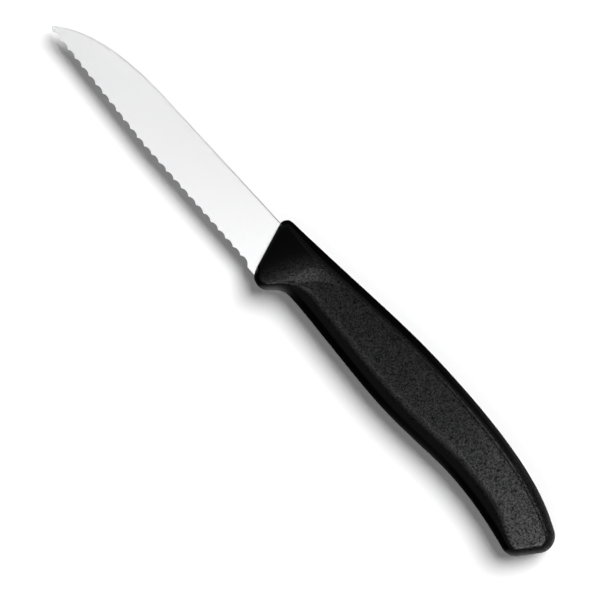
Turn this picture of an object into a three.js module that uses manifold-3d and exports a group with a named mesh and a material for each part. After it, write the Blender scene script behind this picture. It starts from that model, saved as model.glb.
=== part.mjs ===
// Serrated paring knife: a ground stainless blade whose tang is locked inside a one-piece moulded handle.
// Millimetres, +Z up. The knife lies on its side: X runs from point to butt, Y from edge to spine.
// Lengths and heights start at the datum, where the spine of the blade meets the front of the handle.
// On the lower side, heights start at the edge line: level with the edge of the blade at the datum.

import * as THREE from "three";
import { mergeVertices } from "three/addons/utils/BufferGeometryUtils.js";
import Module from "manifold-3d";

// Blade, seen from the side
const BLADE_LENGTH = 80; // handle to point, along the spine
const POINT_DROP = 9.2; // point below the spine
const SPINE_FALL = 34; // front stretch in which the spine curves down to the point
const SPINE_FALL_FULLNESS = 0.72; // share of that stretch in which it holds its height
const HEEL_HEIGHT = 14.35; // spine to edge line, before the teeth are ground
const BEND_HEIGHT = 13.42; // spine to edge where the edge starts to rise to the point
const BEND_TO_POINT = 40; // that bend, measured back from the point
const BEND_RADIUS = 60;
const NOSE_LENGTH = 1.9; // turn of the edge up into the point, measured back from the point
const NOSE_DROP = 1.25; // and down from it

// Blade, seen from above
const STRIP_THICKNESS = 1.2; // spine at the handle, and the whole tang
const EDGE_THICKNESS = 0.4; // behind the teeth at the handle
const POINT_THICKNESS = 0.25;

// Teeth: round scallops ground into one face only
const TOOTH_PITCH = 2.985;
const TOOTH_DEPTH = 0.6; // tip of a tooth to the bottom of the scallop, in the side view
const TOOTH_INSET = 0.62; // tips of the teeth inside the edge as it was before grinding
const GRIND_ANGLE = 16; // degrees between the scallops and the face
const PLAIN_HEEL = 2.49; // edge left without teeth, next to the handle

// Tang: the hidden tail of the blade that the handle is moulded round
const TANG_ABOVE_EDGE = 6.15; // its lower side above the edge line
const TANG_TO_BUTT = 34.7; // its end ahead of the lower corner of the butt
const TANG_END_RADIUS = 3.5;
const ROOT_LENGTH = 3.2; // full-height root of the blade inside the handle
const ROOT_RADIUS = 0.8;
const SHOULDER_RADIUS = 2;
const PLUNGE_DEPTH = 1.3; // how far the ground faces run into the handle
const LOCK_HOLES = 3; // holes that the plastic flows through
const LOCK_HOLE_DIAMETER = 4;
const LOCK_HOLE_FIRST = 18; // first hole behind the datum
const LOCK_HOLE_END_MARGIN = 9; // last hole ahead of the tang's end
const MOULD_CLEARANCE = 0.3; // handle to tang, all round

// Handle outline, seen from the side; corners are given as they are before rounding
const FRONT_LEAN = 19.4; // degrees that the front face leans back at the bottom
const TOP_HEIGHT = 2.35; // top line above the spine, at the datum
const TOP_RISE = 0.065; // its slope there
const TOP_FRONT_RADIUS = 2.2;
const CREST_HEIGHT = 6.06;
const CREST_BEHIND_BELLY = 2.7;
const BUTT_TOP_DROP = 4.46; // upper corner of the butt below the spine
const BUTT_TOP_SLOPE = -0.49; // top line where it reaches that corner
const BUTT_TOP_RADIUS = 4.6;
const BUTT_SLANT = 7.97; // upper corner of the butt behind the lower one
const BUTT_BELOW_EDGE = 1.63; // lower corner of the butt below the edge line
const BUTT_BEHIND_WAIST = 28.1;
const BUTT_LOW_SLOPE = -0.22; // lower line where it reaches that corner
const BUTT_LOW_RADIUS = 4.3;
const WAIST_ABOVE_EDGE = 2.09;
const WAIST_BEHIND_BELLY = 24.2;
const BELLY_ABOVE_EDGE = 0.89;
const BELLY_AT = 54.4; // behind the datum
const NOTCH_ABOVE_EDGE = 2.95; // finger notch behind the guard
const NOTCH_BEHIND_GUARD = 6.994;
const NOTCH_RADIUS = 5.5;
const GUARD_BELOW_EDGE = 4.75;
const GUARD_RADIUS = 3.7;

// How long each curve of the outline holds its slope at its front and rear end, as shares of its length
const TOP_RISE_HOLD = [0.49, 0.29];
const TOP_FALL_HOLD = [0.65, 0.14];
const BELLY_HOLD = [0.21, 0.28];
const WAIST_HOLD = [0.4, 0.23];
const BUTT_HOLD = [0.38, 0.3];

// Handle thickness
const GRIP_THICKNESS = 13; // across the flat sides
const FRONT_THICKNESS = 4.6; // least thickness of the ramp, next to the front face
const BUTT_THICKNESS = 10.6;
const FLAT_BEHIND_BELLY = 14; // the sides are flat up to here, then draw in to the butt
const FRONT_EDGE_RADIUS = 1; // rounding between the front face and the sides
const RIDGE_BEHIND_GUARD = 2.5; // lower end of the ridge between the ramp at the front and the flat sides
const RIDGE_BEND_AT = 14.85; // corner that the ridge bends round on its way to the crest, behind the datum
const RIDGE_BEND_HEIGHT = 2.61;
const RAMP_RUN_IN = 4.5; // the ramp starts this far behind the ridge,
const RAMP_RADIUS = 35; // curves down at first
const RAMP_SLOPE = 0.4; // and straightens to this slope
const GUARD_ROUND = 2; // width of the rounding along the lower side, at the guard
const GUARD_ROUND_END = 9; // it starts to widen here
const BELLY_ROUND = 6;
const BELLY_ROUND_START = 21; // and is at its widest from here
const TOP_FRONT_ROUND = 1.7; // width of the rounding along the top, at the front
const TOP_ROUND = 3.2;
const TOP_ROUND_START = 15; // and at its widest from here
const BUTT_ROUND = 2.8; // width of the rounding round the butt
const BUTT_ROUND_RUN = 12; // stretch before the butt in which the other two change to it

// Lay of the sections across the handle: shares of the top line's rise that lie across from the lower line
const GUARD_SPAN = 0.08;
const GUARD_BACK_SPAN = 0.03;
const NOTCH_SPAN = 0.06;
const WAIST_SPAN = 0.5; // of the top line's fall
const GUARD_FRONT_SHARE = 0.55; // of the guard's arc, across from the rounded top front corner

// Fineness of the faceted surfaces
const ARC_STEPS = 16;
const SCALLOP_STEPS = 16;
const OUTLINE_STEPS = 40;
const SIDE_STEPS = 20; // facets from the lower outline to the top one

const CUT_MARGIN = 2; // how far a cutting tool reaches past the piece it cuts
const ARC_FIT = 0.98; // most of a straight side that the arcs at its ends may take up

const { lerp, smoothstep, degToRad } = THREE.MathUtils;
const wasm = await Module();
wasm.setup();

const point = (x, y) => new THREE.Vector2(x, y);
const frontLean = Math.tan(degToRad(FRONT_LEAN));

// Distance of a point behind the front face of the handle
function behindFront(x, y) {
  return (x + y * frontLean) * Math.cos(degToRad(FRONT_LEAN));
}

// Point at a given height on a line parallel to the front face
function onFrontLine(y, behind) {
  return point(behind / Math.cos(degToRad(FRONT_LEAN)) - y * frontLean, y);
}

// Arc that rounds the corner between two straight lines
function fillet(before, corner, after, radius) {
  const into = corner.clone().sub(before).normalize();
  const out = after.clone().sub(corner).normalize();
  const turn = into.angleTo(out);
  const reach = radius * Math.tan(turn / 2);
  const bow = radius * 4 / 3 * Math.tan(turn / 4);
  const start = corner.clone().addScaledVector(into, -reach);
  const end = corner.clone().addScaledVector(out, reach);
  const startBow = start.clone().addScaledVector(into, bow);
  const endBow = end.clone().addScaledVector(out, -bow);
  return new THREE.CubicBezierCurve(start, startBow, endBow, end);
}

// Arcs for the inner corners of a chain of straight sides; arcs that don't fit on a side shrink
function fillets(corners, radii) {
  const sides = corners.slice(1).map((corner, i) => corner.clone().sub(corners[i]));
  const reaches = radii.map((radius, i) => radius * Math.tan(sides[i].angleTo(sides[i + 1]) / 2));
  const room = sides.map((side, i) => {
    const taken = (reaches[i - 1] ?? 0) + (reaches[i] ?? 0);
    return Math.min(1, ARC_FIT * side.length() / taken);
  });
  return radii.map((radius, i) => {
    const fitting = radius * Math.min(room[i], room[i + 1]);
    return fillet(corners[i], corners[i + 1], corners[i + 2], fitting);
  });
}

// Smooth curve along X with a given slope at each end; hold says how long it keeps each slope
function sweep(start, startSlope, end, endSlope, hold) {
  const [startRun, endRun] = hold.map((share) => share * (end.x - start.x));
  const startBow = point(start.x + startRun, start.y + startSlope * startRun);
  const endBow = point(end.x - endRun, end.y - endSlope * endRun);
  return new THREE.CubicBezierCurve(start, startBow, endBow, end);
}

function followCurve(path, curve) {
  path.lineTo(curve.v0.x, curve.v0.y);
  path.bezierCurveTo(curve.v1.x, curve.v1.y, curve.v2.x, curve.v2.y, curve.v3.x, curve.v3.y);
}

function solidOf(geometry) {
  const bare = geometry.clone();
  bare.deleteAttribute("normal");
  bare.deleteAttribute("uv");
  const merged = mergeVertices(bare);
  const vertProperties = Float32Array.from(merged.attributes.position.array);
  const triVerts = Uint32Array.from(merged.index.array);
  return new wasm.Manifold(new wasm.Mesh({ numProp: 3, vertProperties, triVerts }));
}

function meshOf(name, solid, material) {
  const { vertProperties, triVerts } = solid.getMesh();
  const geometry = new THREE.BufferGeometry();
  geometry.setAttribute("position", new THREE.BufferAttribute(vertProperties, 3));
  geometry.setIndex(new THREE.BufferAttribute(triVerts, 1));
  geometry.computeVertexNormals();
  const mesh = new THREE.Mesh(geometry, material);
  mesh.name = name;
  return mesh;
}

// Corners of the blade's edge
const bladePoint = point(-BLADE_LENGTH, -POINT_DROP);
const edgeNose = point(bladePoint.x + NOSE_LENGTH, bladePoint.y - NOSE_DROP);
const edgeBend = point(bladePoint.x + BEND_TO_POINT, -BEND_HEIGHT);
const edgeSlope = (HEEL_HEIGHT - BEND_HEIGHT) / edgeBend.x;

// Corners and turning points of the handle
const belly = point(BELLY_AT, BELLY_ABOVE_EDGE - HEEL_HEIGHT);
const crest = point(belly.x + CREST_BEHIND_BELLY, CREST_HEIGHT);
const waist = point(belly.x + WAIST_BEHIND_BELLY, WAIST_ABOVE_EDGE - HEEL_HEIGHT);
const buttLow = point(waist.x + BUTT_BEHIND_WAIST, -HEEL_HEIGHT - BUTT_BELOW_EDGE);
const buttTop = point(buttLow.x + BUTT_SLANT, -BUTT_TOP_DROP);
const guard = onFrontLine(-HEEL_HEIGHT - GUARD_BELOW_EDGE, 0);
const notch = point(guard.x + NOTCH_BEHIND_GUARD, NOTCH_ABOVE_EDGE - HEEL_HEIGHT);
const topFront = onFrontLine(TOP_HEIGHT / (1 + TOP_RISE * frontLean), 0);

// Tang, shared by the blade and by the space for it in the handle
const tangLow = TANG_ABOVE_EDGE - HEEL_HEIGHT;
const tangEnd = buttLow.x - TANG_TO_BUTT;

// Height of the straight rear edge, and its crossing with a line parallel to the front face
const rearEdge = (x) => edgeSlope * x - HEEL_HEIGHT;
const rearEdgeCrossing = (behind, drop) => {
  const start = onFrontLine(0, behind).x;
  const x = (start + (HEEL_HEIGHT + drop) * frontLean) / (1 + edgeSlope * frontLean);
  return point(x, rearEdge(x) - drop);
};

// Half the thickness of the ground blade: it tapers to the edge and to the point
const edgeTaper = (STRIP_THICKNESS - EDGE_THICKNESS) / 2 / HEEL_HEIGHT;
const pointTaper = ((STRIP_THICKNESS - POINT_THICKNESS) / 2 - edgeTaper * POINT_DROP) / BLADE_LENGTH;
const bladeHalf = (x, y) => STRIP_THICKNESS / 2 + pointTaper * x + edgeTaper * y;

// Rear of the stamped blank, from the top of the tang round to the edge; grow widens it all round
function followTang(path, grow, after) {
  const low = tangLow - grow;
  const end = tangEnd + grow;
  const shoulder = onFrontLine(low, ROOT_LENGTH + grow);
  const heel = rearEdgeCrossing(ROOT_LENGTH + grow, grow);
  const corners = [path.currentPoint.clone(), point(end, grow), point(end, low), shoulder, heel, after];
  const endRadius = TANG_END_RADIUS + grow;
  const radii = [endRadius, endRadius, SHOULDER_RADIUS - grow, ROOT_RADIUS + grow];
  for (const arc of fillets(corners, radii)) followCurve(path, arc);
}

function addLockHoles(shape, radius) {
  const lastHole = tangEnd - LOCK_HOLE_END_MARGIN;
  for (let i = 0; i < LOCK_HOLES; i++) {
    const x = lerp(LOCK_HOLE_FIRST, lastHole, i / Math.max(LOCK_HOLES - 1, 1));
    shape.holes.push(new THREE.Path().absarc(x, tangLow / 2, radius, 0, 2 * Math.PI, false));
  }
}

// What the grinding wheel takes off one face of the blank, ahead of its run-out inside the handle
function grindingCut(side, grow) {
  const above = CUT_MARGIN;
  const below = -HEEL_HEIGHT - CUT_MARGIN;
  const tip = -BLADE_LENGTH - CUT_MARGIN;
  const runOutTop = onFrontLine(above, PLUNGE_DEPTH - grow);
  const runOutLow = onFrontLine(below, PLUNGE_DEPTH - grow);
  const plan = new THREE.Shape([point(tip, above), point(tip, below), runOutLow, runOutTop]);
  const depth = STRIP_THICKNESS + CUT_MARGIN;
  const cut = new THREE.ExtrudeGeometry(plan, { depth, bevelEnabled: false });
  const face = side * (bladeHalf(0, 0) + grow);
  const tilt = new THREE.Matrix4().set(
    1, 0, 0, 0,
    0, 1, 0, 0,
    side * pointTaper, side * edgeTaper, 1, side > 0 ? face : face - depth,
    0, 0, 0, 1,
  );
  return solidOf(cut.applyMatrix4(tilt));
}

// Flat blank with both faces ground to the blade's taper
function groundBlank(shape, grow) {
  const depth = STRIP_THICKNESS + 2 * grow;
  const blank = new THREE.ExtrudeGeometry(shape, { depth, bevelEnabled: false, curveSegments: ARC_STEPS });
  blank.translate(0, 0, -depth / 2);
  return solidOf(blank).subtract(grindingCut(1, grow)).subtract(grindingCut(-1, grow));
}

const heel = rearEdgeCrossing(0, 0);
const edgeBendArc = fillet(heel, edgeBend, edgeNose, BEND_RADIUS);

function bladeOutline() {
  const shape = new THREE.Shape();
  const spineEnd = bladePoint.x + SPINE_FALL;
  shape.moveTo(spineEnd, 0);
  followTang(shape, 0, edgeBend);
  followCurve(shape, edgeBendArc);
  shape.lineTo(edgeNose.x, edgeNose.y);
  shape.lineTo(bladePoint.x, bladePoint.y);
  shape.quadraticCurveTo(spineEnd - SPINE_FALL * SPINE_FALL_FULLNESS, 0, spineEnd, 0);
  addLockHoles(shape, LOCK_HOLE_DIAMETER / 2);
  return shape;
}

// Sizes of a scallop, measured square to its ground face
function scallopSizes() {
  const angle = degToRad(GRIND_ANGLE);
  const dip = TOOTH_DEPTH * Math.sin(angle);
  const skim = TOOTH_INSET * Math.sin(angle);
  const radius = ((TOOTH_PITCH / 2) ** 2 + dip ** 2) / (2 * dip);
  const halfChord = (depth) => Math.sqrt(radius ** 2 - (radius - depth) ** 2);
  const wheelHalf = halfChord(dip + skim + STRIP_THICKNESS * Math.cos(angle));
  return { angle, dip, radius, wheelHalf, edgeHalf: halfChord(dip + skim) };
}
const scallop = scallopSizes();

// One pass of the round-faced wheel that grinds a scallop, at a place on the edge and along it
function scallopCut(place, along) {
  const { angle, dip, radius, wheelHalf } = scallop;
  const halfTurn = Math.asin(wheelHalf / radius);
  const profile = new THREE.Shape();
  profile.absarc(0, dip - radius, radius, Math.PI / 2 + halfTurn, Math.PI / 2 - halfTurn, true);
  const runOut = STRIP_THICKNESS / Math.sin(angle) + CUT_MARGIN;
  const depth = runOut + TOOTH_INSET + CUT_MARGIN;
  const options = { depth, bevelEnabled: false, curveSegments: SCALLOP_STEPS };
  const wheel = new THREE.ExtrudeGeometry(profile, options);
  const edgeward = new THREE.Vector3(along.x, along.y, 0);
  const up = new THREE.Vector3(0, 0, 1);
  const inward = up.clone().cross(edgeward);
  const intoMetal = inward.clone().multiplyScalar(Math.sin(angle)).addScaledVector(up, Math.cos(angle));
  const outOfMetal = inward.clone().multiplyScalar(-Math.cos(angle)).addScaledVector(up, Math.sin(angle));
  const tip = new THREE.Vector3(place.x, place.y, 0).addScaledVector(inward, TOOTH_INSET);
  tip.z = bladeHalf(tip.x, tip.y);
  const pose = new THREE.Matrix4().makeBasis(edgeward, intoMetal, outOfMetal);
  pose.setPosition(tip.addScaledVector(outOfMetal, -runOut));
  return solidOf(wheel.applyMatrix4(pose));
}

function buildBlade() {
  let blade = groundBlank(bladeOutline(), 0);
  const edge = new THREE.CurvePath();
  edge.add(new THREE.LineCurve(heel, edgeBendArc.v0));
  edge.add(edgeBendArc);
  edge.add(new THREE.LineCurve(edgeBendArc.v3, edgeNose));
  const length = edge.getLength();
  for (let at = PLAIN_HEEL + scallop.edgeHalf; at < length; at += TOOTH_PITCH) {
    const along = edge.getTangentAt(at / length).negate();
    blade = blade.subtract(scallopCut(edge.getPointAt(at / length), along));
  }
  const steel = new THREE.MeshStandardMaterial({ color: 0xd9dadb, metalness: 1, roughness: 0.28 });
  return meshOf("blade", blade, steel);
}

// Curves of the handle from the front face to the butt face, along the top and along the lower side
const topLine = point(crest.x, topFront.y + TOP_RISE * (crest.x - topFront.x));
const topFrontArc = fillet(guard, topFront, topLine, TOP_FRONT_RADIUS);
const buttTopLine = point(crest.x, buttTop.y - BUTT_TOP_SLOPE * (buttTop.x - crest.x));
const buttTopArc = fillet(buttTopLine, buttTop, buttLow, BUTT_TOP_RADIUS);
const topRise = sweep(topFrontArc.v3, TOP_RISE, crest, 0, TOP_RISE_HOLD);
const topFall = sweep(crest, 0, buttTopArc.v0, BUTT_TOP_SLOPE, TOP_FALL_HOLD);

const notchLine = point(belly.x, notch.y);
const [guardArc, notchArc] = fillets([topFront, guard, notch, notchLine], [GUARD_RADIUS, NOTCH_RADIUS]);
const guardBack = new THREE.LineCurve(guardArc.v3, notchArc.v0);
const buttLowLine = point(waist.x, buttLow.y - BUTT_LOW_SLOPE * (buttLow.x - waist.x));
const buttLowArc = fillet(buttLowLine, buttLow, buttTop, BUTT_LOW_RADIUS);
const bellySweep = sweep(notchArc.v3, 0, belly, 0, BELLY_HOLD);
const waistSweep = sweep(belly, 0, waist, 0, WAIST_HOLD);
const buttSweep = sweep(waist, 0, buttLowArc.v0, BUTT_LOW_SLOPE, BUTT_HOLD);

const outlinePoints = (curves) => curves.flatMap((curve) => curve.getPoints(OUTLINE_STEPS));
const topOutline = outlinePoints([topFrontArc, topRise, topFall, buttTopArc]);
const lowFront = [guardArc, guardBack, notchArc, bellySweep];
const lowOutline = outlinePoints([...lowFront, waistSweep, buttSweep, buttLowArc]);
const buttOutline = [buttLowArc.v3, buttTopArc.v3];

// Ridge between the ramp and the flat sides
const ridgeFoot = point(guard.x + RIDGE_BEHIND_GUARD, guard.y);
const ridgeBend = point(RIDGE_BEND_AT, RIDGE_BEND_HEIGHT);
const ridge = outlinePoints([new THREE.CubicBezierCurve(ridgeFoot, ridgeBend, ridgeBend, crest)]);

// Stretches of the top and of the lower side, [curve, from, to], and the number of sections between them
const backStart = GUARD_SPAN;
const notchStart = backStart + GUARD_BACK_SPAN;
const bellyStart = notchStart + NOTCH_SPAN;
const handleStretches = [
  [[topFrontArc, 0, 1], [guardArc, 0, GUARD_FRONT_SHARE], 8],
  [[topRise, 0, backStart], [guardArc, GUARD_FRONT_SHARE, 1], 6],
  [[topRise, backStart, notchStart], [guardBack, 0, 1], 3],
  [[topRise, notchStart, bellyStart], [notchArc, 0, 1], 4],
  [[topRise, bellyStart, 1], [bellySweep, 0, 1], 14],
  [[topFall, 0, WAIST_SPAN], [waistSweep, 0, 1], 9],
  [[topFall, WAIST_SPAN, 1], [buttSweep, 0, 1], 12],
  [[buttTopArc, 0, 1], [buttLowArc, 0, 1], 10],
];

// Distance of a place to a chain of points: above 0 on its left, below 0 on its right
function distanceTo(line, place) {
  let nearest = Infinity;
  const segment = new THREE.Line3();
  const foot = new THREE.Vector3();
  const spot = new THREE.Vector3(place.x, place.y, 0);
  for (let i = 1; i < line.length; i++) {
    segment.start.set(line[i - 1].x, line[i - 1].y, 0);
    segment.end.set(line[i].x, line[i].y, 0);
    if (segment.distanceSq() > 0) {
      segment.closestPointToPoint(spot, true, foot);
      const gap = foot.distanceTo(spot);
      const turn = line[i].clone().sub(line[i - 1]).cross(place.clone().sub(line[i - 1]));
      if (gap < Math.abs(nearest)) nearest = turn < 0 ? -gap : gap;
    }
  }
  return nearest;
}

// Quarter ellipse: 0 at no distance, 1 past the width of the rounding
function roundOff(distance, width) {
  const short = 1 - Math.min(distance / width, 1);
  return Math.sqrt(1 - short * short);
}

// Width of the rounding along one side, from its front width to its grip width and on to the butt
function roundWidth(x, frontWidth, gripWidth, changeStart, changeEnd, buttStart) {
  const ahead = lerp(frontWidth, gripWidth, smoothstep(x, changeStart, changeEnd));
  return lerp(ahead, BUTT_ROUND, smoothstep(x, buttStart - BUTT_ROUND_RUN, buttStart));
}

// How full the handle is near its outline, from 0 on the outline to 1 on the flat sides
function fullness(place) {
  const lowX = buttLowArc.v0.x;
  const topX = buttTopArc.v0.x;
  const low = roundWidth(place.x, GUARD_ROUND, BELLY_ROUND, GUARD_ROUND_END, BELLY_ROUND_START, lowX);
  const top = roundWidth(place.x, TOP_FRONT_ROUND, TOP_ROUND, 0, TOP_ROUND_START, topX);
  const shares = [
    Math.abs(distanceTo(lowOutline, place)) / low,
    Math.abs(distanceTo(topOutline, place)) / top,
    Math.abs(distanceTo(buttOutline, place)) / BUTT_ROUND,
  ];
  return roundOff(Math.min(...shares), 1);
}

// Half the thickness of the handle
function handleHalf(place) {
  const downRamp = Math.max(distanceTo(ridge, place) + RAMP_RUN_IN, 0);
  const bend = RAMP_SLOPE * RAMP_RADIUS;
  const fall = RAMP_SLOPE * (Math.hypot(downRamp, bend) - bend);
  const ramp = Math.max(GRIP_THICKNESS / 2 - fall, FRONT_THICKNESS / 2);
  const flatEnd = belly.x + FLAT_BEHIND_BELLY;
  const behindFlat = Math.max(place.x - flatEnd, 0) / (buttTop.x - flatEnd);
  const drawIn = (GRIP_THICKNESS - BUTT_THICKNESS) / 2 * behindFlat ** 2;
  const depth = Math.max(behindFront(place.x, place.y), 0);
  const frontEdge = FRONT_EDGE_RADIUS * (1 - roundOff(depth, FRONT_EDGE_RADIUS));
  return (ramp - drawIn - frontEdge) * fullness(place);
}

// Sections across the handle, each a pair of points on the two outlines
function handleSections() {
  const sections = [];
  for (const [[topCurve, topFrom, topTo], [lowCurve, lowFrom, lowTo], steps] of handleStretches) {
    for (let i = sections.length ? 1 : 0; i <= steps; i++) {
      const top = topCurve.getPoint(lerp(topFrom, topTo, i / steps));
      const low = lowCurve.getPoint(lerp(lowFrom, lowTo, i / steps));
      sections.push({ top, low });
    }
  }
  return sections;
}

// Corners of the ring round one section: up one side of the handle and down the other
function sectionRing({ top, low }) {
  const side = [];
  for (let i = 0; i <= SIDE_STEPS; i++) {
    const share = (1 - Math.cos(Math.PI * i / SIDE_STEPS)) / 2;
    const place = low.clone().lerp(top, share);
    const onOutline = i === 0 || i === SIDE_STEPS;
    side.push(new THREE.Vector3(place.x, place.y, onOutline ? 0 : handleHalf(place)));
  }
  const back = side.slice(1, -1).reverse().map(({ x, y, z }) => new THREE.Vector3(x, y, -z));
  return [...side, ...back];
}

// Closed loft through the sections: a flat front face, and a butt that closes on its own outline
function handleBody() {
  const rings = handleSections().map(sectionRing);
  const corners = rings.flat();
  const ring = 2 * SIDE_STEPS;
  const faces = [];
  for (let i = 0; i < SIDE_STEPS; i++) {
    const [near, next] = [ring - i, ring - i - 1];
    if (i < SIDE_STEPS - 1) faces.push(i, i + 1, next);
    if (i > 0) faces.push(i, next, near);
  }
  for (let j = 0; j < rings.length - 1; j++) {
    for (let i = 0; i < ring; i++) {
      const [a, b] = [j * ring + i, j * ring + (i + 1) % ring];
      const [c, d] = [b + ring, a + ring];
      const shortAcross = corners[a].distanceTo(corners[c]) <= corners[b].distanceTo(corners[d]);
      faces.push(...(shortAcross ? [a, d, c, a, c, b] : [a, d, b, d, c, b]));
    }
  }
  return solidOf(new THREE.BufferGeometry().setFromPoints(corners).setIndex(faces));
}

// Space that the tang and the root of the blade take up, with posts left through the lock holes
function tangSpace() {
  const shape = new THREE.Shape();
  const ahead = -CUT_MARGIN;
  const edgeAhead = point(ahead, rearEdge(ahead) - MOULD_CLEARANCE);
  shape.moveTo(ahead, MOULD_CLEARANCE);
  followTang(shape, MOULD_CLEARANCE, edgeAhead);
  shape.lineTo(edgeAhead.x, edgeAhead.y);
  addLockHoles(shape, LOCK_HOLE_DIAMETER / 2 - MOULD_CLEARANCE);
  return groundBlank(shape, MOULD_CLEARANCE);
}

function buildHandle() {
  const plastic = new THREE.MeshStandardMaterial({ color: 0x17191a, metalness: 0, roughness: 0.55 });
  return meshOf("handle", handleBody().subtract(tangSpace()), plastic);
}

const knife = new THREE.Group();
knife.add(buildBlade(), buildHandle());

// Rests on its side with the origin under the middle of its outline
const box = new THREE.Box3().setFromObject(knife);
const middle = box.getCenter(new THREE.Vector3());
knife.position.set(-middle.x, -middle.y, -box.min.z);

export default knife;
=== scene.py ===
"""Looks of the serrated paring knife: ground steel blade, grained plastic handle, plain white studio."""

import math

import bmesh
import bpy
import numpy as np
from mathutils import Matrix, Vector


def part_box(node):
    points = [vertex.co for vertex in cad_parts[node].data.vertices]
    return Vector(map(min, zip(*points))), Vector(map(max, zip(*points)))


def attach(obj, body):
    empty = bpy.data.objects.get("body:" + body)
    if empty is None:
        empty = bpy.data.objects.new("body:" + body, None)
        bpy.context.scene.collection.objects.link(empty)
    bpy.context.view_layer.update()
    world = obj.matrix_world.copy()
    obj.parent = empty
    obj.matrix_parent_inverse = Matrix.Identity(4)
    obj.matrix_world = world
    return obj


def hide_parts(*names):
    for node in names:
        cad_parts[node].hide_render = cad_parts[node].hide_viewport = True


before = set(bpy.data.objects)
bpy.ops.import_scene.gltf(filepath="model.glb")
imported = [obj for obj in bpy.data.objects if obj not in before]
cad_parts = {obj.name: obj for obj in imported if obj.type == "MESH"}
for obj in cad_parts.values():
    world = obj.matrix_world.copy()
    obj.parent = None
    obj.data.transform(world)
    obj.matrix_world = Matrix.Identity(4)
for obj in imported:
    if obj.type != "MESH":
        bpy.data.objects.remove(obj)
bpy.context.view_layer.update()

MM = 0.001
WELD = 0.0005 * MM

# Blade finish
SPINE_BREAK = 0.34 * MM  # rounding of the spine's two edges
SPINE_BREAK_SHARE = 0.4  # and at most this share of the thickness, towards the point
SPINE_BREAK_STEPS = 4
FLAT_ANGLE = math.radians(0.3)  # facets of the solid closer than this are one flat face
FLAT_GAP = 0.002 * MM  # so are facets whose corners lie this close to its plane
BLADE_SHARP_ANGLE = math.radians(22)  # tooth tips and ground borders stay crisp above this
GROUND_LEVEL = 0.99  # a ground face's normal points up or down by at least this share
SIDE_LEVEL = 0.9  # and next to the spine by at least this
SPINE_LEVEL = 0.2  # the spine's own normal by less than this
SPINE_OUT = 0.3  # and away from the edge by more than this

# Handle outline, seen from the side, as in the solid: millimetres from the spot where the spine of the
# blade meets the handle, and on the lower side from the edge line, level with the edge at that spot
BLADE_LENGTH = 80
HEEL_HEIGHT = 14.35  # spine to edge line
FRONT_LEAN = math.radians(19.4)
TOP_HEIGHT, TOP_RISE, TOP_FRONT_RADIUS = 2.35, 0.065, 2.2
CREST_HEIGHT, CREST_BEHIND_BELLY = 6.06, 2.7
BUTT_TOP_DROP, BUTT_TOP_SLOPE, BUTT_TOP_RADIUS = 4.46, -0.49, 4.6
BUTT_SLANT = 7.97
BUTT_BELOW_EDGE, BUTT_BEHIND_WAIST, BUTT_LOW_SLOPE, BUTT_LOW_RADIUS = 1.63, 28.1, -0.22, 4.3
WAIST_ABOVE_EDGE, WAIST_BEHIND_BELLY = 2.09, 24.2
BELLY_ABOVE_EDGE, BELLY_AT = 0.89, 54.4
NOTCH_ABOVE_EDGE, NOTCH_BEHIND_GUARD, NOTCH_RADIUS = 2.95, 6.994, 5.5
GUARD_BELOW_EDGE, GUARD_RADIUS = 4.75, 3.7

# How long each curve of the outline holds its slope at its front and rear end, as shares of its length
TOP_RISE_HOLD = (0.49, 0.29)
TOP_FALL_HOLD = (0.65, 0.14)
BELLY_HOLD = (0.21, 0.28)
WAIST_HOLD = (0.4, 0.23)
BUTT_HOLD = (0.38, 0.3)

# Handle thickness, in millimetres
GRIP_THICKNESS, FRONT_THICKNESS, BUTT_THICKNESS = 13, 4.6, 10.6
FLAT_BEHIND_BELLY = 14  # the sides are flat up to here, then draw in to the butt
FRONT_EDGE_RADIUS = 1
RIDGE_BEHIND_GUARD = 2.5  # the ridge above the front ramp starts here
RIDGE_BEND = (14.85, 2.61)  # and bends round this on its way to the crest
RAMP_RUN_IN, RAMP_RADIUS, RAMP_SLOPE = 4.5, 35, 0.4  # it starts behind the ridge, and curves into a slope
GUARD_ROUND, GUARD_ROUND_END = 2, 9  # width of the rounding along the lower side, and where it widens
BELLY_ROUND, BELLY_ROUND_START = 6, 21
TOP_FRONT_ROUND, TOP_ROUND, TOP_ROUND_START = 1.7, 3.2, 15  # the same along the top
BUTT_ROUND, BUTT_ROUND_RUN = 2.8, 12

# Where the moulded grain, and the painted glints and sheen in its base colour, come in and fade out
GRAIN_RIM = (0.3, 1)  # over this share of a rim's width, from the outline
GRAIN_AHEAD = (2, 6)  # over these millimetres ahead of the ridge
GRAIN_BUTT = (75, 95)  # along this stretch it spreads over the top rim

# Handle skin
SECTION_FINENESS = 3  # sections of the skin to one of the solid
SIDE_STEPS = 48  # facets from the lower outline to the top one
OUTLINE_STEPS = 40
SEAM_HEIGHT, SEAM_WIDTH = 0.05, 0.2  # parting line that the two halves of the mould leave, in millimetres
HANDLE_SHARP_ANGLE = math.radians(30)

# Camera: straight above the side of the knife, turned as in the photograph
VIEW_WIDTH = 160 * MM  # width of the picture at the height of the blade
VIEW_CENTRE = (2.39 * MM, -5.26 * MM)
VIEW_TURN = math.radians(47.275)
CAMERA_DISTANCE = 1.6
SENSOR_WIDTH = 36

LAMP_DISTANCE = 2  # metres from the origin of the frame

# Room that the gloss shows: its shade by the sine of the height above the horizon
ROOM = [
    (0.0, "#202122"),
    (0.03, "#ffffff"),
    (0.06, "#d6d7d9"),
    (0.52, "#d6d7d9"),
    (0.72, "#7b7c7e"),
    (0.93, "#7b7c7e"),
    (0.97, "#202122"),
]
ROOM_LIFT = 0.04  # least value of that sine past the butt, where the room is white below the horizon too


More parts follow.
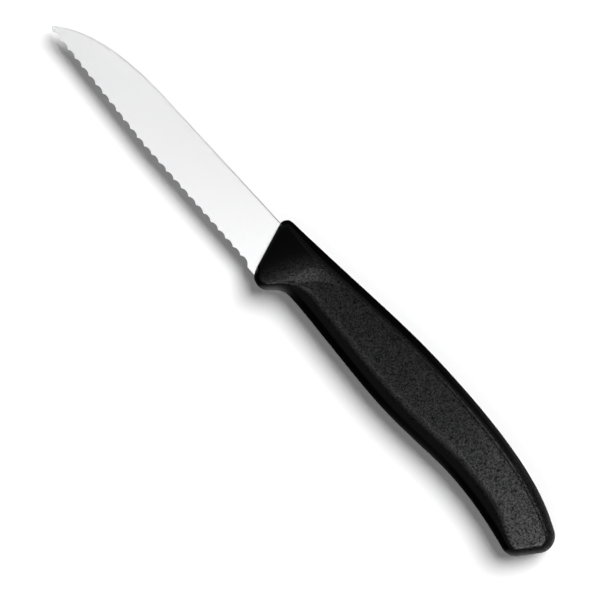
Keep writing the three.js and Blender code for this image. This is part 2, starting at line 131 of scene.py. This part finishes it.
def linear(hex_colour):
    """Linear RGBA of an sRGB hex value."""
    channels = [int(hex_colour[i : i + 2], 16) / 255 for i in (1, 3, 5)]
    return (*[c / 12.92 if c <= 0.04045 else ((c + 0.055) / 1.055) ** 2.4 for c in channels], 1.0)


def add_node(tree, kind, inputs=None, **settings):
    """New shader node; an input is a value, or the output socket that it is linked to."""
    node = tree.nodes.new(kind)
    for name, value in settings.items():
        setattr(node, name, value)
    for name, value in (inputs or {}).items():
        if isinstance(value, bpy.types.NodeSocket):
            tree.links.new(value, node.inputs[name])
        else:
            node.inputs[name].default_value = value
    return node


def new_material(name):
    material = bpy.data.materials.new(name)
    material.use_nodes = True
    material.node_tree.nodes.clear()
    return material


def new_piece(name, mesh, material):
    piece = bpy.data.objects.new(name, mesh)
    bpy.context.scene.collection.objects.link(piece)
    mesh.materials.clear()
    mesh.materials.append(material)
    return piece


def apply_modifier(piece, kind, **settings):
    """Run one modifier on a piece and keep the mesh that comes out."""
    modifier = piece.modifiers.new(kind.lower(), kind)
    for name, value in settings.items():
        setattr(modifier, name, value)
    state = bpy.context.evaluated_depsgraph_get()
    mesh = bpy.data.meshes.new_from_object(piece.evaluated_get(state))
    piece.modifiers.clear()
    piece.data = mesh


def smooth_except(mesh, angle):
    """Smooth shading, with edges above the angle left crisp."""
    mesh.shade_smooth()
    mesh.set_sharp_from_angle(angle=angle)


# Materials

def ground_stainless_steel():
    """Stainless strip, ground across and finely polished: a pale, almost white metal with a satin sheen."""
    material = new_material("ground_stainless_steel")
    tree = material.node_tree
    place = add_node(tree, "ShaderNodeTexCoord").outputs["Object"]
    grit = 0.12 * MM
    stroke = 12 * MM
    lines = add_node(tree, "ShaderNodeMapping", {
        "Vector": place,
        "Scale": (1 / grit, 1 / stroke, 1 / stroke),
    })
    scratches = add_node(tree, "ShaderNodeTexNoise", {
        "Vector": lines.outputs["Vector"], "Scale": 1.0, "Detail": 3.0,
    })
    sheen = add_node(tree, "ShaderNodeMapRange", {
        "Value": scratches.outputs["Fac"], "To Min": 0.13, "To Max": 0.16,
    })
    steel = add_node(tree, "ShaderNodeBsdfPrincipled", {
        "Base Color": linear("#f4f4f5"),
        "Metallic": 1.0,
        "Roughness": sheen.outputs["Result"],
    })
    add_node(tree, "ShaderNodeOutputMaterial", {"Surface": steel.outputs["BSDF"]})
    return material


def grained_polypropylene():
    """Black polypropylene: on the sides the pebbles glint more or less, and their base colour is lightened by
    painted glints and painted sheen; the rims are plain.
    """
    material = new_material("grained_polypropylene")
    tree = material.node_tree
    place = add_node(tree, "ShaderNodeTexCoord").outputs["Object"]
    pebble = 0.22 * MM  # the moulded grain is finer than a pixel, so it is drawn coarser
    pebbles = add_node(tree, "ShaderNodeTexVoronoi", {"Vector": place, "Scale": 1 / pebble})
    grain = add_node(tree, "ShaderNodeAttribute", attribute_name="grain").outputs["Fac"]

    def speckle(plain, dull, glint):
        """Value for each pebble: plain where there is no grain, from dull to glint where there is."""
        least = add_node(tree, "ShaderNodeMapRange", {"Value": grain, "To Min": plain, "To Max": dull})
        most = add_node(tree, "ShaderNodeMapRange", {"Value": grain, "To Min": plain, "To Max": glint})
        # A pebble's value is a blend of its three random channels, which mostly keeps near the middle
        value = add_node(tree, "ShaderNodeMapRange", {
            "Value": pebbles.outputs["Color"], "From Min": 0.32, "From Max": 0.68,
            "To Min": least.outputs["Result"], "To Max": most.outputs["Result"],
        })
        return value.outputs["Result"]

    relief = add_node(tree, "ShaderNodeBump", {
        "Height": pebbles.outputs["Distance"],
        "Strength": grain,
        "Distance": 0.004 * MM,
    })
    plastic = add_node(tree, "ShaderNodeBsdfPrincipled", {
        # base colour: plain black on the rims; on the grained sides the lighter pebbles are painted glints
        # and painted sheen, not a colour the plastic has
        "Base Color": speckle(linear("#020202")[0], linear("#040404")[0], linear("#161616")[0]),
        "Roughness": 0.2,
        "IOR": 1.49,
        "Specular IOR Level": speckle(0.07, 0.01, 0.095),
        "Normal": relief.outputs["Normal"],
    })
    add_node(tree, "ShaderNodeOutputMaterial", {"Surface": plastic.outputs["BSDF"]})
    return material


def matt_white_paper():
    """Even white ground that takes the soft shadow."""
    material = new_material("matt_white_paper")
    tree = material.node_tree
    paper = add_node(tree, "ShaderNodeBsdfDiffuse", {"Color": linear("#f4f4f4")})
    add_node(tree, "ShaderNodeOutputMaterial", {"Surface": paper.outputs["BSDF"]})
    return material


# Blade

def make_blade():
    blade = bmesh.new()
    blade.from_mesh(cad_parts["blade"].data)
    bmesh.ops.remove_doubles(blade, verts=blade.verts, dist=WELD)
    bmesh.ops.dissolve_limit(blade, angle_limit=FLAT_ANGLE, verts=blade.verts, edges=blade.edges)
    merge_ground_faces(blade)
    mark_spine(blade)
    mesh = bpy.data.meshes.new("blade_ground")
    blade.to_mesh(mesh)
    blade.free()
    piece = new_piece("blade_ground", mesh, ground_stainless_steel())
    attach(piece, "root")
    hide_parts("blade")
    return piece


def merge_ground_faces(blade):
    """Join the facets of each ground face, slivers included, into one flat face."""
    handle_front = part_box("handle")[0].x
    for side in (1, -1):
        ground = [
            face for face in blade.faces
            if side * face.normal.z > GROUND_LEVEL and face.calc_center_median().x < handle_front
        ]
        widest = max(ground, key=lambda face: face.calc_area())
        normal = widest.normal.copy()
        level = normal.dot(widest.verts[0].co)
        flat = [
            face for face in blade.faces
            if all(abs(normal.dot(corner.co) - level) < FLAT_GAP for corner in face.verts)
        ]
        bmesh.ops.dissolve_faces(blade, faces=flat)


def mark_spine(blade):
    """Give the two edges of the spine ahead of the handle their share of the rounding."""
    share = blade.edges.layers.float.new("bevel_weight_edge")
    handle_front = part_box("handle")[0].x
    for edge in blade.edges:
        if len(edge.link_faces) != 2 or min(corner.co.x for corner in edge.verts) > handle_front:
            continue
        spine, side = sorted(edge.link_faces, key=lambda face: abs(face.normal.z))
        square = abs(spine.normal.z) < SPINE_LEVEL and abs(side.normal.z) > SIDE_LEVEL
        if square and spine.normal.y > SPINE_OUT:
            heights = [corner.co.z for corner in spine.verts]
            thickness = max(heights) - min(heights)
            edge[share] = min(1, SPINE_BREAK_SHARE * thickness / SPINE_BREAK)


def finish_blade(piece):
    """Round the edges of the spine, and shade the ground faces flat up to their crisp borders."""
    apply_modifier(
        piece, "BEVEL", limit_method="WEIGHT", width=SPINE_BREAK, segments=SPINE_BREAK_STEPS,
        use_clamp_overlap=False,
    )
    smooth_except(piece.data, BLADE_SHARP_ANGLE)
    apply_modifier(piece, "WEIGHTED_NORMAL", keep_sharp=True)


# Handle

def on_front(height):
    """Point of the handle's front face at a height."""
    return np.array([-height * math.tan(FRONT_LEAN), height])


def fillet(before, corner, after, radius):
    """Arc that rounds the corner between two straight lines, as the four points of a cubic curve."""
    into = (corner - before) / np.linalg.norm(corner - before)
    out = (after - corner) / np.linalg.norm(after - corner)
    turn = math.acos(into @ out)
    reach = radius * math.tan(turn / 2)
    bow = radius * 4 / 3 * math.tan(turn / 4)
    start, end = corner - into * reach, corner + out * reach
    return np.array([start, start + into * bow, end - out * bow, end])


def sweep(start, start_slope, end, end_slope, hold):
    """Cubic curve with a given slope at each end; hold says how long it keeps each slope."""
    run = end[0] - start[0]
    start_bow = start + np.array([1, start_slope]) * hold[0] * run
    end_bow = end - np.array([1, end_slope]) * hold[1] * run
    return np.array([start, start_bow, end_bow, end])


def along(curve, shares):
    """Points of a cubic curve."""
    t = np.asarray(shares)[:, None]
    start, start_bow, end_bow, end = curve
    return (1 - t) ** 3 * start + 3 * t * (1 - t) ** 2 * start_bow + 3 * t**2 * (1 - t) * end_bow + t**3 * end


def handle_curves():
    """Curves from front to butt, along the top and along the lower side, and the ridge above the ramp."""
    edge_line = -HEEL_HEIGHT
    belly = np.array([BELLY_AT, edge_line + BELLY_ABOVE_EDGE])
    crest = np.array([BELLY_AT + CREST_BEHIND_BELLY, CREST_HEIGHT])
    waist = np.array([BELLY_AT + WAIST_BEHIND_BELLY, edge_line + WAIST_ABOVE_EDGE])
    butt_low = np.array([waist[0] + BUTT_BEHIND_WAIST, edge_line - BUTT_BELOW_EDGE])
    butt_top = np.array([butt_low[0] + BUTT_SLANT, -BUTT_TOP_DROP])
    guard = on_front(edge_line - GUARD_BELOW_EDGE)
    notch = np.array([guard[0] + NOTCH_BEHIND_GUARD, edge_line + NOTCH_ABOVE_EDGE])
    top_front = on_front(TOP_HEIGHT / (1 + TOP_RISE * math.tan(FRONT_LEAN)))
    top_front_arc = fillet(guard, top_front, top_front + (1, TOP_RISE), TOP_FRONT_RADIUS)
    butt_top_arc = fillet(butt_top - (1, BUTT_TOP_SLOPE), butt_top, butt_low, BUTT_TOP_RADIUS)
    guard_arc = fillet(top_front, guard, notch, GUARD_RADIUS)
    notch_arc = fillet(guard, notch, notch + (1, 0), NOTCH_RADIUS)
    butt_low_arc = fillet(butt_low - (1, BUTT_LOW_SLOPE), butt_low, butt_top, BUTT_LOW_RADIUS)
    back = notch_arc[0] - guard_arc[3]
    top = {
        "front": top_front_arc,
        "rise": sweep(top_front_arc[3], TOP_RISE, crest, 0, TOP_RISE_HOLD),
        "fall": sweep(crest, 0, butt_top_arc[0], BUTT_TOP_SLOPE, TOP_FALL_HOLD),
        "butt": butt_top_arc,
    }
    low = {
        "guard": guard_arc,
        "back": np.array([guard_arc[3] + back * share for share in (0, 1 / 3, 2 / 3, 1)]),
        "notch": notch_arc,
        "belly": sweep(notch_arc[3], 0, belly, 0, BELLY_HOLD),
        "waist": sweep(belly, 0, waist, 0, WAIST_HOLD),
        "droop": sweep(waist, 0, butt_low_arc[0], BUTT_LOW_SLOPE, BUTT_HOLD),
        "butt": butt_low_arc,
    }
    return top, low, np.array([guard + (RIDGE_BEHIND_GUARD, 0), RIDGE_BEND, RIDGE_BEND, crest])


# Stretches of the top and of the lower side that lie across from each other, with their number of sections
STRETCHES = [
    (("front", 0, 1), ("guard", 0, 0.55), 8),
    (("rise", 0, 0.08), ("guard", 0.55, 1), 6),
    (("rise", 0.08, 0.11), ("back", 0, 1), 3),
    (("rise", 0.11, 0.17), ("notch", 0, 1), 4),
    (("rise", 0.17, 1), ("belly", 0, 1), 14),
    (("fall", 0, 0.5), ("waist", 0, 1), 9),
    (("fall", 0.5, 1), ("droop", 0, 1), 12),
    (("butt", 0, 1), ("butt", 0, 1), 10),
]


def section_ends(curves, side):
    """Ends of all sections on one outline: side 0 is the top, 1 the lower side."""
    ends = []
    for stretch in STRETCHES:
        name, start, end = stretch[side]
        shares = np.linspace(start, end, stretch[2] * SECTION_FINENESS + 1)
        ends.append(along(curves[name], shares[1:] if ends else shares))
    return np.concatenate(ends)


def distance(line, places):
    """Shortest distance of each place to a chain of points: above 0 on its left, below 0 on its right."""
    sides = np.diff(line, axis=0)
    kept = (sides**2).sum(1) > 0
    starts, sides = line[:-1][kept], sides[kept]
    out = places[:, None] - starts
    share = np.clip((out * sides).sum(2) / (sides**2).sum(1), 0, 1)
    gaps = np.linalg.norm(out - share[:, :, None] * sides, axis=2)
    nearest = gaps.argmin(1)
    row = np.arange(len(places))
    turn = sides[nearest, 0] * out[row, nearest, 1] - sides[nearest, 1] * out[row, nearest, 0]
    return np.copysign(gaps[row, nearest], turn)


def round_off(share):
    """Quarter circle: 0 at 0, 1 from 1 on."""
    return np.sqrt(1 - (1 - np.clip(share, 0, 1)) ** 2)


def smooth_step(x, start, end):
    share = np.clip((x - start) / (end - start), 0, 1)
    return share * share * (3 - 2 * share)


def blend(start, end, share):
    return start + (end - start) * share


class HandleForm:
    """Thickness and grain of the handle at any place of its side view, by the same rules as the solid."""

    def __init__(self):
        self.top, self.low, ridge = handle_curves()
        steps = np.linspace(0, 1, OUTLINE_STEPS + 1)
        self.top_line = np.concatenate([along(curve, steps) for curve in self.top.values()])
        self.low_line = np.concatenate([along(curve, steps) for curve in self.low.values()])
        self.butt_line = np.array([self.low["butt"][3], self.top["butt"][3]])
        self.ridge = along(ridge, steps)

    def rounding(self, places):
        """Distance from the low side, the top and the butt, as shares of the rounding's width there."""
        x = places[:, 0]
        low = blend(GUARD_ROUND, BELLY_ROUND, smooth_step(x, GUARD_ROUND_END, BELLY_ROUND_START))
        low_end = self.low["butt"][0][0]
        low = blend(low, BUTT_ROUND, smooth_step(x, low_end - BUTT_ROUND_RUN, low_end))
        top = blend(TOP_FRONT_ROUND, TOP_ROUND, smooth_step(x, 0, TOP_ROUND_START))
        top_end = self.top["butt"][0][0]
        top = blend(top, BUTT_ROUND, smooth_step(x, top_end - BUTT_ROUND_RUN, top_end))
        return [
            np.abs(distance(self.low_line, places)) / low,
            np.abs(distance(self.top_line, places)) / top,
            np.abs(distance(self.butt_line, places)) / BUTT_ROUND,
        ]

    def half(self, places):
        """Half the thickness."""
        x, y = places.T
        down_ramp = np.maximum(distance(self.ridge, places) + RAMP_RUN_IN, 0)
        bend = RAMP_SLOPE * RAMP_RADIUS
        fall = RAMP_SLOPE * (np.hypot(down_ramp, bend) - bend)
        ramp = np.maximum(GRIP_THICKNESS / 2 - fall, FRONT_THICKNESS / 2)
        flat_end = BELLY_AT + FLAT_BEHIND_BELLY
        butt_end = BELLY_AT + WAIST_BEHIND_BELLY + BUTT_BEHIND_WAIST + BUTT_SLANT
        behind_flat = np.maximum(x - flat_end, 0) / (butt_end - flat_end)
        draw_in = (GRIP_THICKNESS - BUTT_THICKNESS) / 2 * behind_flat**2
        depth = (x + y * math.tan(FRONT_LEAN)) * math.cos(FRONT_LEAN)
        front_edge = FRONT_EDGE_RADIUS * (1 - round_off(depth / FRONT_EDGE_RADIUS))
        return (ramp - draw_in - front_edge) * round_off(np.minimum.reduce(self.rounding(places)))

    def grain(self, places):
        """Where the grain and its painted glints lie: 1 on the flat sides and round the butt, fading out over
        the other rims and the ramp.
        """
        low, top, _ = self.rounding(places)
        rim = np.minimum(low, np.maximum(top, smooth_step(places[:, 0], *GRAIN_BUTT)))
        ahead = distance(self.ridge, places)
        return smooth_step(rim, *GRAIN_RIM) * (1 - smooth_step(ahead, *GRAIN_AHEAD))


def handle_rings():
    """Rings of corners round the handle with their grain: up one side and down the other, seams included."""
    form = HandleForm()
    shares = (1 - np.cos(np.pi * np.arange(SIDE_STEPS + 1) / SIDE_STEPS)) / 2
    for top, low in zip(section_ends(form.top, 0), section_ends(form.low, 1)):
        places = low + (top - low) * shares[:, None]
        half = form.half(places)
        half[0] = half[-1] = min(SEAM_WIDTH / 2, half[1:-1].max() / 2)
        side = np.column_stack([places, half])
        out = np.array([*(top - low) / np.linalg.norm(top - low) * SEAM_HEIGHT, 0])
        seams = [[*low, 0] - out], [[*top, 0] + out]
        grain = form.grain(places)
        yield (
            np.concatenate([seams[0], side, seams[1], side[::-1] * (1, 1, -1)]),
            np.concatenate([[0], grain, [0], grain[::-1]]),
        )


def handle_skin():
    blade_low, blade_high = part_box("blade")
    datum = np.array([blade_low.x + BLADE_LENGTH * MM, blade_high.y, (blade_low.z + blade_high.z) / 2])
    skin = bmesh.new()
    layer = skin.verts.layers.float.new("grain")
    rings = []
    for places, grain in handle_rings():
        ring = [skin.verts.new(corner) for corner in datum + places * MM]
        for corner, value in zip(ring, grain):
            corner[layer] = value
        rings.append(ring)
    for near, far in zip(rings, rings[1:]):
        for i in range(len(near)):
            skin.faces.new((near[i - 1], far[i - 1], far[i], near[i]))
    skin.faces.new(rings[0])
    skin.faces.new(rings[-1][::-1])
    bmesh.ops.remove_doubles(skin, verts=skin.verts, dist=WELD)
    bmesh.ops.recalc_face_normals(skin, faces=skin.faces)
    mesh = bpy.data.meshes.new("handle_moulded")
    skin.to_mesh(mesh)
    skin.free()
    return mesh


def make_handle(blade):
    piece = new_piece("handle_moulded", handle_skin(), grained_polypropylene())
    apply_modifier(piece, "BOOLEAN", object=blade, solver="EXACT")
    smooth_except(piece.data, HANDLE_SHARP_ANGLE)
    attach(piece, "root")
    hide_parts("handle")
    return piece


# Studio

def make_floor():
    reach = 4.0
    corners = [(-reach, -reach, 0), (reach, -reach, 0), (reach, reach, 0), (-reach, reach, 0)]
    mesh = bpy.data.meshes.new("floor")
    mesh.from_pydata(corners, [], [(0, 1, 2, 3)])
    floor = new_piece("floor", mesh, matt_white_paper())
    floor.visible_glossy = False


def add_light(name, kind, bearing, zenith, **settings):
    """Light that shines at the knife from a bearing, 0 over +Y, 90 over +X, and an angle off the zenith."""
    light = bpy.data.lights.new(name, kind)
    for key, value in settings.items():
        setattr(light, key, value)
    lamp = bpy.data.objects.new(name, light)
    bpy.context.scene.collection.objects.link(lamp)
    turn = Matrix.Rotation(-math.radians(bearing), 4, "Z") @ Matrix.Rotation(-math.radians(zenith), 4, "X")
    lamp.matrix_world = turn @ Matrix.Translation((0, 0, LAMP_DISTANCE))
    return lamp


def add_softbox(name, bearing, zenith, width, depth, radiance):
    """Card that only gloss sees: width across the bearing and depth along it, in metres."""
    lamp = add_light(
        name, "AREA", bearing, zenith, shape="RECTANGLE", size=width, size_y=depth,
        energy=radiance * math.pi * width * depth,
    )
    lamp.visible_diffuse = False
    return lamp


def make_lights(handle):
    """Suns that light the ground, and cards for the gloss, the last of them for the handle alone."""
    suns = [
        add_light("key", "SUN", 0, 31, energy=3.74, angle=math.radians(36)),
        add_light("counter", "SUN", 180, 40, energy=0.6, angle=math.radians(60)),
        add_light("fill", "SUN", 0, 0, energy=0.2, angle=math.radians(150)),
    ]
    for sun in suns:
        sun.visible_glossy = False
        sun.data.cycles.max_bounces = 0  # the steel throws no light back into its shadow
    add_softbox("overhead", 170, 4.6, 0.5, 0.25, 0.87)
    add_softbox("tip_side", 297, 12, 0.5, 0.16, 27.0)
    add_softbox("butt_side", 100, 21, 0.8, 1.1, 12.0)
    add_softbox("lower_side", 180, 32, 2.0, 0.5, 2.0)
    add_softbox("upper_side", 0, 34, 2.0, 0.4, 1.8)
    handle_cards = [
        add_softbox("rear_rim", 28, 44, 1.2, 1.0, 6.5),
        add_softbox("butt_end", 122, 46, 1.2, 1.0, 14.0),
        add_softbox("butt_flat", 112, 23, 0.8, 0.8, 9.0),
        add_softbox("lower_ridge", 186, 17, 2.0, 0.6, 4.0),
        add_softbox("ramp_front", 297, 12, 0.5, 0.16, 9.0),
    ]
    handle_only = bpy.data.collections.new("handle_only")
    handle_only.objects.link(handle)
    for card in handle_cards:
        card.light_linking.receiver_collection = handle_only


def make_world():
    """Room that only gloss sees: pale round the horizon, grey above it, dark overhead and below."""
    world = bpy.data.worlds.new("studio")
    bpy.context.scene.world = world
    world.use_nodes = True
    world.cycles_visibility.diffuse = False
    tree = world.node_tree
    tree.nodes.clear()
    direction = add_node(tree, "ShaderNodeTexCoord").outputs["Generated"]
    sines = add_node(tree, "ShaderNodeSeparateXYZ", {"Vector": direction}).outputs
    lift = add_node(tree, "ShaderNodeMath", {0: sines["X"], 1: ROOM_LIFT}, operation="MULTIPLY")
    height = add_node(tree, "ShaderNodeMath", {0: sines["Z"], 1: lift.outputs[0]}, operation="MAXIMUM")
    room = add_node(tree, "ShaderNodeValToRGB", {"Fac": height.outputs[0]})
    lowest, *between, highest = ROOM
    stops = room.color_ramp.elements
    for stop, (sine, shade) in zip(stops, (lowest, highest)):
        stop.position = sine
        stop.color = linear(shade)
    for sine, shade in between:
        stops.new(sine).color = linear(shade)
    light = add_node(tree, "ShaderNodeBackground", {"Color": room.outputs["Color"]})
    add_node(tree, "ShaderNodeOutputWorld", {"Surface": light.outputs["Background"]})


def make_camera():
    camera = bpy.data.cameras.new("camera")
    camera.sensor_width = SENSOR_WIDTH
    camera.lens = SENSOR_WIDTH * CAMERA_DISTANCE / VIEW_WIDTH
    low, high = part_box("blade")
    eye = bpy.data.objects.new("camera", camera)
    bpy.context.scene.collection.objects.link(eye)
    eye.location = (*VIEW_CENTRE, (low.z + high.z) / 2 + CAMERA_DISTANCE)
    eye.rotation_euler = (0, 0, VIEW_TURN)
    bpy.context.scene.camera = eye


make_camera()
make_floor()
blade = make_blade()
handle = make_handle(blade)
finish_blade(blade)
make_lights(handle)
make_world()
bpy.context.scene.view_settings.view_transform = "Standard"
